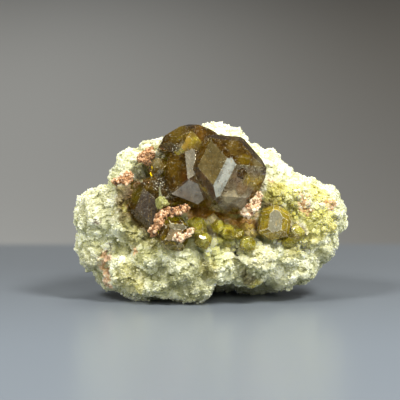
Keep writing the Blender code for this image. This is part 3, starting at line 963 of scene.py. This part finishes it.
def scatter_tree():
    """Grains on a surface: spacing, sizes, where they grow, their seed and their finish are inputs."""
    tree = bpy.data.node_groups.new("grains on a surface", "GeometryNodeTree")
    tree.is_modifier = True
    inputs = (
        ("Geometry", "NodeSocketGeometry"),
        ("Grain", "NodeSocketObject"),
        ("Spacing", "NodeSocketFloat"),
        ("Smallest", "NodeSocketFloat"),
        ("Largest", "NodeSocketFloat"),
        ("Where", "NodeSocketString"),
        ("Seed", "NodeSocketInt"),
        ("Finish", "NodeSocketMaterial"),
    )
    for name, kind in inputs:
        tree.interface.new_socket(name, in_out="INPUT", socket_type=kind)
    tree.interface.new_socket("Geometry", in_out="OUTPUT", socket_type="NodeSocketGeometry")
    bench = Bench(tree)
    given = bench.node("NodeGroupInput")
    where = bench.node(
        "GeometryNodeInputNamedAttribute",
        {"data_type": "FLOAT"},
        {"Name": given["Where"]},
    )["Attribute"]
    points = bench.node(
        "GeometryNodeDistributePointsOnFaces",
        {"distribute_method": "POISSON"},
        {
            "Mesh": given["Geometry"],
            "Distance Min": given["Spacing"],
            "Density Max": GRAINS_PER_SQUARE_METRE,
            "Density Factor": where,
            "Seed": given["Seed"],
        },
    )
    turn = bench.node(
        "FunctionNodeRandomValue",
        {"data_type": "FLOAT_VECTOR"},
        {1: (FULL_TURN, FULL_TURN, FULL_TURN), "Seed": given["Seed"]},
    )[0]
    evenly = bench.node("FunctionNodeRandomValue", {"data_type": "FLOAT"}, {"Seed": given["Seed"]})[1]
    sizes = bench.node(
        "ShaderNodeMapRange",
        None,
        {"Value": evenly**LARGE_ARE_RARE, 3: given["Smallest"], 4: given["Largest"]},
    )[0]
    grain = bench.node("GeometryNodeObjectInfo", None, {"Object": given["Grain"]})["Geometry"]
    grains = bench.node(
        "GeometryNodeInstanceOnPoints",
        None,
        {"Points": points["Points"], "Instance": grain, "Rotation": turn, "Scale": sizes},
    )["Instances"]
    swing = bench.node("FunctionNodeRandomValue", {"data_type": "FLOAT"}, {"Seed": SWING_SEED})[1]
    stored = bench.node(
        "GeometryNodeStoreNamedAttribute",
        {"data_type": "FLOAT", "domain": "INSTANCE"},
        {"Geometry": grains, "Name": "swing", "Value": swing},
    )["Geometry"]
    real = bench.node("GeometryNodeRealizeInstances", None, {"Geometry": stored})["Geometry"]
    finished = bench.node("GeometryNodeSetMaterial", None, {"Geometry": real, "Material": given["Finish"]})
    bench.node("NodeGroupOutput", None, {"Geometry": finished["Geometry"]})
    return tree


def grow_grains(name, ground, tree, **inputs):
    """A plain mesh of grains grown on the ground; a size of 1 is the grain's own, about a millimetre."""
    obj = object_of(name, ground.data.copy())
    modifier = obj.modifiers.new("grains", "NODES")
    modifier.node_group = tree
    for item in tree.interface.items_tree:
        if item.in_out == "INPUT" and item.name in inputs:
            modifier[item.identifier] = inputs[item.name]
    settle(obj)
    bm = load_bmesh(obj)
    keep_inside(bm)
    store_bmesh(bm, obj)
    return obj


def copy_of(name, node):
    """A bare copy of a CAD node, its loose triangles joined."""
    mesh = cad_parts[node].data.copy()
    mesh.materials.clear()
    obj = object_of(name, mesh)
    bm = load_bmesh(obj)
    bmesh.ops.remove_doubles(bm, verts=bm.verts[:], dist=MERGE)
    store_bmesh(bm, obj)
    return obj


def hazy_among(planes):
    """Which of a crystal's planes are hazy, each with its haze and tone."""
    hazy = []
    for point, amount, colour in HAZY_FACES:
        spot = millimetres(point)

        def miss(plane):
            normal, middle = plane
            return abs((spot - middle).dot(normal)) * 4 + (spot - middle).length

        normal, middle = min(planes, key=miss)
        if (spot - middle).length < HAZE_REACH:
            hazy.append((normal, middle, amount, colour))
    return hazy


def lies_on(face, normal, middle, least_match, slack):
    return face.normal.dot(normal) > least_match and abs((face.center - middle).dot(normal)) < slack


def dressed(name, node, edge, finish):
    """A CAD crystal with its edges just broken, as on a real crystal, and haze on single faces."""
    obj = copy_of(name, node)
    mesh = obj.data
    bm = load_bmesh(obj)
    bmesh.ops.dissolve_limit(bm, angle_limit=FLAT_ANGLE, verts=bm.verts[:], edges=bm.edges[:])
    planes = [(face.normal.copy(), face.calc_center_median()) for face in bm.faces]
    sharp = [e for e in bm.edges if len(e.link_faces) == 2 and e.calc_face_angle() > SHARP_ANGLE]
    bmesh.ops.bevel(
        bm,
        geom=sharp,
        offset=edge,
        offset_type="OFFSET",
        segments=2,
        profile=0.6,
        affect="EDGES",
        clamp_overlap=True,
    )
    bmesh.ops.triangulate(bm, faces=bm.faces[:])
    bmesh.ops.recalc_face_normals(bm, faces=bm.faces[:])
    store_bmesh(bm, obj)
    kinds = (("haze", "FLOAT"), ("haze tone", "FLOAT_COLOR"), ("worn", "FLOAT"))
    for kind, form in kinds:
        mesh.attributes.new(kind, form, "FACE")
    haze, haze_tone, worn = (mesh.attributes[kind] for kind, _ in kinds)
    hazy = hazy_among(planes)
    for face in mesh.polygons:
        whole = any(lies_on(face, normal, middle, 0.9999, 0.01 * MM) for normal, middle in planes)
        worn.data[face.index].value = 0.0 if whole else 1.0
        for normal, middle, amount, colour in hazy:
            if lies_on(face, normal, middle, 0.999, 0.05 * MM):
                haze.data[face.index].value = amount
                haze_tone.data[face.index].color = colour
    mesh.materials.append(finish)
    return obj


def crusty(name, node, cell, relief, finish):
    """A CAD crust made fine-grained."""
    obj = remesh(copy_of(name, node), cell)
    bm = load_bmesh(obj)

    def knobs(vertex):
        knob = 0.5 - nearest_ball(vertex.co, CRUST_KNOB_SIZE)
        waver = 1.6 * noise.noise(vertex.co / (0.8 * MM)) + 0.8 * noise.noise(vertex.co / (0.3 * MM))
        return knob + waver

    push_out(bm, knobs, relief)
    keep_inside(bm)
    store_bmesh(bm, obj)
    obj.data.materials.clear()
    obj.data.materials.append(finish)
    for kind, value in (("everywhere", 1.0), ("swing", 0.35)):
        attribute = obj.data.attributes.new(kind, "FLOAT", "POINT")
        attribute.data.foreach_set("value", [value] * len(obj.data.vertices))
    return obj


def nub_spike(name, finish):
    """The nub's thin point, leaning left."""
    bm = bmesh.new()
    bmesh.ops.create_cone(
        bm,
        cap_ends=True,
        segments=10,
        radius1=SPIKE_FOOT,
        radius2=SPIKE_TIP,
        depth=SPIKE_LENGTH,
    )
    for vertex in bm.verts:
        share = vertex.co.z / SPIKE_LENGTH + 0.5
        vertex.co.x -= SPIKE_LEAN * share**2
        vertex.co += SPIKE_MIDDLE
    bmesh.ops.recalc_face_normals(bm, faces=bm.faces[:])
    spike = from_bmesh(name, bm)
    spike.data.materials.append(finish)
    return spike


def one_tone(piece, colour):
    skin = piece.data.color_attributes.new("skin", "FLOAT_COLOR", "POINT")
    for corner in skin.data:
        corner.color = colour


def belongs(piece, slot, *nodes):
    """The CAD nodes that the piece stands for, if any, are hidden, and it is attached to its body; slot,
    its finish in the record, is not used.
    """
    if nodes:
        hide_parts(*nodes)
    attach(piece, "root")


# The rock and what grows on it
rock = melted_rock("rock")
paint_skin(rock, tree_of(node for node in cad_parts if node.startswith("garnet")))
rock.data.materials.append(rock_finish("rock", roughness=0.5, variety=0.5))

scatter = scatter_tree()
sugar_shape = sugar_grain("sugar_shape")
druse_shape = garnet_grain("druse_shape")
sugar = grow_grains(
    "sugary_grains",
    rock,
    scatter,
    Grain=sugar_shape,
    Spacing=0.45 * MM,
    Smallest=0.2,
    Largest=0.6,
    Where="sugar",
    Seed=3,
    Finish=rock_finish("sugary grains", roughness=0.4, variety=0.4),
)
druse = grow_grains(
    "yellow_druse",
    rock,
    scatter,
    Grain=druse_shape,
    Spacing=0.55 * MM,
    Smallest=0.35,
    Largest=2.1,
    Where="druse",
    Seed=11,
    Finish=druse_finish("yellow-green druse", share=0.6),
)
fine_druse = grow_grains(
    "fine_yellow_druse",
    rock,
    scatter,
    Grain=druse_shape,
    Spacing=0.42 * MM,
    Smallest=0.25,
    Largest=1.15,
    Where="fine druse",
    Seed=12,
    Finish=druse_finish("pale lime druse", share=0.8),
)
belongs(rock, "matrix", "matrix")
belongs(sugar, "matrix")
belongs(druse, "yellow_garnet")
belongs(fine_druse, "yellow_garnet")

# Crystals
olive_brown = garnet_finish(
    "olive-brown garnet",
    clear=(0.96, 0.91, 0.60, 1),
    body_tones=[(0.35, tone(72, 46, 8)), (0.55, tone(92, 66, 10)), (0.72, tone(112, 88, 14))],
    cloudiness=(0.20, 0.42),
    soak=(0.90, 0.865, 0.03, 1),
    density=480.0,
    roughness=0.03,
    edge_wear_and_glint=0.8,
)
golden = garnet_finish(
    "golden garnet",
    clear=(0.98, 0.94, 0.58, 1),
    body_tones=[(0.35, tone(150, 124, 18)), (0.55, tone(186, 162, 36)), (0.72, tone(200, 184, 70))],
    cloudiness=(0.40, 0.70),
    soak=(0.95, 0.92, 0.06, 1),
    density=300.0,
    roughness=0.04,
    edge_wear_and_glint=0.3,
)
yellow_green = garnet_finish(
    "yellow-green garnet",
    clear=(0.98, 0.95, 0.62, 1),
    body_tones=[(0.35, tone(140, 116, 14)), (0.52, tone(172, 162, 40)), (0.70, tone(200, 196, 110))],
    cloudiness=(0.35, 0.75),
    soak=(0.96, 0.94, 0.10, 1),
    density=600.0,
    roughness=0.05,
    edge_wear_and_glint=0.3,
)
for node, slot, worn_edge, finish in (
    ("garnet_cluster", "garnet", 0.12 * MM, olive_brown),
    ("garnet_front", "garnet", 0.12 * MM, olive_brown),
    ("garnet_right", "garnet", 0.06 * MM, golden),
    ("garnet_yellow_left", "yellow_garnet", 0.05 * MM, yellow_green),
    ("garnet_yellow_middle", "yellow_garnet", 0.05 * MM, yellow_green),
    ("garnet_yellow_low", "yellow_garnet", 0.05 * MM, yellow_green),
    ("garnet_yellow_right", "yellow_garnet", 0.05 * MM, yellow_green),
):
    belongs(dressed(f"{node}_crystal", node, worn_edge, finish), slot, node)

# Crusts
pink = pink_finish("salmon-pink crust", tone(74, 46, 20), tone(176, 126, 76), tone(222, 180, 134))
bone = pink_finish("pale crust", tone(124, 80, 42), tone(228, 190, 144), tone(250, 228, 194))
for node, finish in (
    ("pink_ribbon", pink),
    ("pink_crust_front", bone),
    ("pink_crust_under", bone),
    ("pink_crust_upper_left", pink),
    ("pink_crust_left", pink),
):
    crust = crusty(f"{node}_body", node, CRUST_CELL, CRUST_RELIEF, finish)
    crumbs = grow_grains(
        f"{node}_crumbs",
        crust,
        scatter,
        Grain=sugar_shape,
        Spacing=0.34 * MM,
        Smallest=0.2,
        Largest=0.75,
        Where="everywhere",
        Seed=5,
        Finish=finish,
    )
    belongs(crust, "pink_crust", node)
    belongs(crumbs, "pink_crust")

# The nub
nub_finish = rock_finish("pale-green nub", roughness=0.4, variety=0.5)
nub = crusty("pale_nub_grains", "pale_nub", 0.10 * MM, 0.26 * MM, nub_finish)
spike = nub_spike("nub_spike", nub_finish)
one_tone(nub, tone(154, 152, 80))
one_tone(spike, tone(142, 140, 104))
belongs(nub, "pale_nub", "pale_nub")
belongs(spike, "pale_nub")

for shape in (sugar_shape, druse_shape):
    bpy.data.objects.remove(shape)


# Studio: all places are in metres.
TABLE_REACH = 3
NEAR_EDGE = 57 * MM  # the table's tone gives way to the wall's between these two, behind the specimen
FAR_EDGE = 68 * MM
LAMP_AIM = Vector((0, 0, 15)) * MM
ROOM_TONE = (1.0, 0.99, 0.96, 1)
ROOM_LIGHT = 0.07
WHITE_LIGHT = (1.0, 1.0, 1.0)

# Lamps: name, degrees right of the front and degrees up, distance, width, brightness and colour.
LAMPS = [
    ("overhead", 172, 72, 0.62, 0.42, 4.6, (1.0, 0.99, 0.96)),
    ("right of the front", 44, 52, 0.60, 0.17, 58.0, WHITE_LIGHT),
    ("left of the front", -52, 50, 0.60, 0.17, 40.0, WHITE_LIGHT),
    ("over the camera", 8, 27, 0.75, 0.23, 12.0, WHITE_LIGHT),
    ("low right", 58, 18, 0.60, 0.16, 12.0, WHITE_LIGHT),
    ("low left", -58, 3, 0.60, 0.15, 11.0, WHITE_LIGHT),
    ("card for the left crystal", -20, 46, 0.60, 0.11, 0.5, (0.85, 0.92, 1.0)),
    ("card by the lens", 0, 9, 0.80, 0.12, 3.2, (0.74, 0.82, 1.0)),
]


def table_finish():
    """Blue-grey near, and a warm grey wall beyond a soft line, with painted light on both: the wall darker
    to the right and lighter far back, the table darker further back.
    """
    coat = Finish("pale table")
    apart = coat.node("ShaderNodeSeparateXYZ", None, {0: coat.place})
    across, back = apart["X"], apart["Y"]
    # painted light: the wall is darker to the right
    darker_to_right = coat.ranged(across, -60 * MM, 75 * MM)
    near_wall = coat.mixed(darker_to_right, tone(131, 131, 128), tone(93, 91, 87))
    far_wall = coat.mixed(darker_to_right, tone(188, 188, 184), tone(122, 118, 110))
    # painted light: the wall grows lighter far back, making up for the lamps' falloff
    wall = coat.mixed(coat.ranged(back, 70 * MM, 700 * MM), near_wall, far_wall)
    # painted light: the table is darker further back
    table_with_painted_falloff = coat.mixed(coat.ranged(back, 58 * MM, -60 * MM), tone(101, 105, 108), tone(118, 125, 131))
    colour = coat.mixed(coat.ranged(back, NEAR_EDGE, FAR_EDGE), table_with_painted_falloff, wall)
    return coat.surface(Base_Color=colour, Roughness=0.3, Specular_IOR_Level=0.4)


def table_top(name, reach):
    bm = bmesh.new()
    corners = [(-reach, -reach, 0), (reach, -reach, 0), (reach, reach, 0), (-reach, reach, 0)]
    bm.faces.new([bm.verts.new(corner) for corner in corners])
    top = from_bmesh(name, bm)
    top.data.materials.append(table_finish())
    return top


def softbox(name, azimuth, elevation, distance, width, brightness, colour):
    """A round light that faces the specimen; its energy makes it this bright whatever its width."""
    right, up = math.radians(azimuth), math.radians(elevation)
    lamp = bpy.data.lights.new(name, "AREA")
    lamp.shape = "DISK"
    lamp.size = width
    lamp.energy = brightness * math.pi * math.pi * width * width / 4
    lamp.color = colour
    obj = object_of(name, lamp)
    out = Vector((math.sin(right) * math.cos(up), -math.cos(right) * math.cos(up), math.sin(up)))
    obj.location = LAMP_AIM + out * distance
    obj.rotation_mode = "QUATERNION"
    obj.rotation_quaternion = out.to_track_quat("Z", "Y")


def soft_room():
    """A faint, even light from all round."""
    world = bpy.data.worlds.new("soft room")
    bpy.context.scene.world = world
    world.use_nodes = True
    background = world.node_tree.nodes["Background"]
    background.inputs["Color"].default_value = ROOM_TONE
    background.inputs["Strength"].default_value = ROOM_LIGHT


def place_camera():
    camera_data = bpy.data.cameras.new("camera")
    camera_data.sensor_width = SENSOR_WIDTH
    camera_data.lens = SENSOR_WIDTH * CAMERA_DISTANCE / VIEW_WIDTH
    camera_data.clip_start = 0.05
    camera_data.clip_end = 20
    camera = object_of("camera", camera_data)
    toward = Vector((0, -math.cos(LOOK_DOWN), math.sin(LOOK_DOWN)))
    camera.location = AIM + toward * CAMERA_DISTANCE
    camera.rotation_mode = "QUATERNION"
    camera.rotation_quaternion = toward.to_track_quat("Z", "Y")
    bpy.context.scene.camera = camera


table = table_top("table", TABLE_REACH)
for lamp in LAMPS:
    softbox(*lamp)
soft_room()
place_camera()
bpy.context.scene.view_settings.view_transform = "Standard"
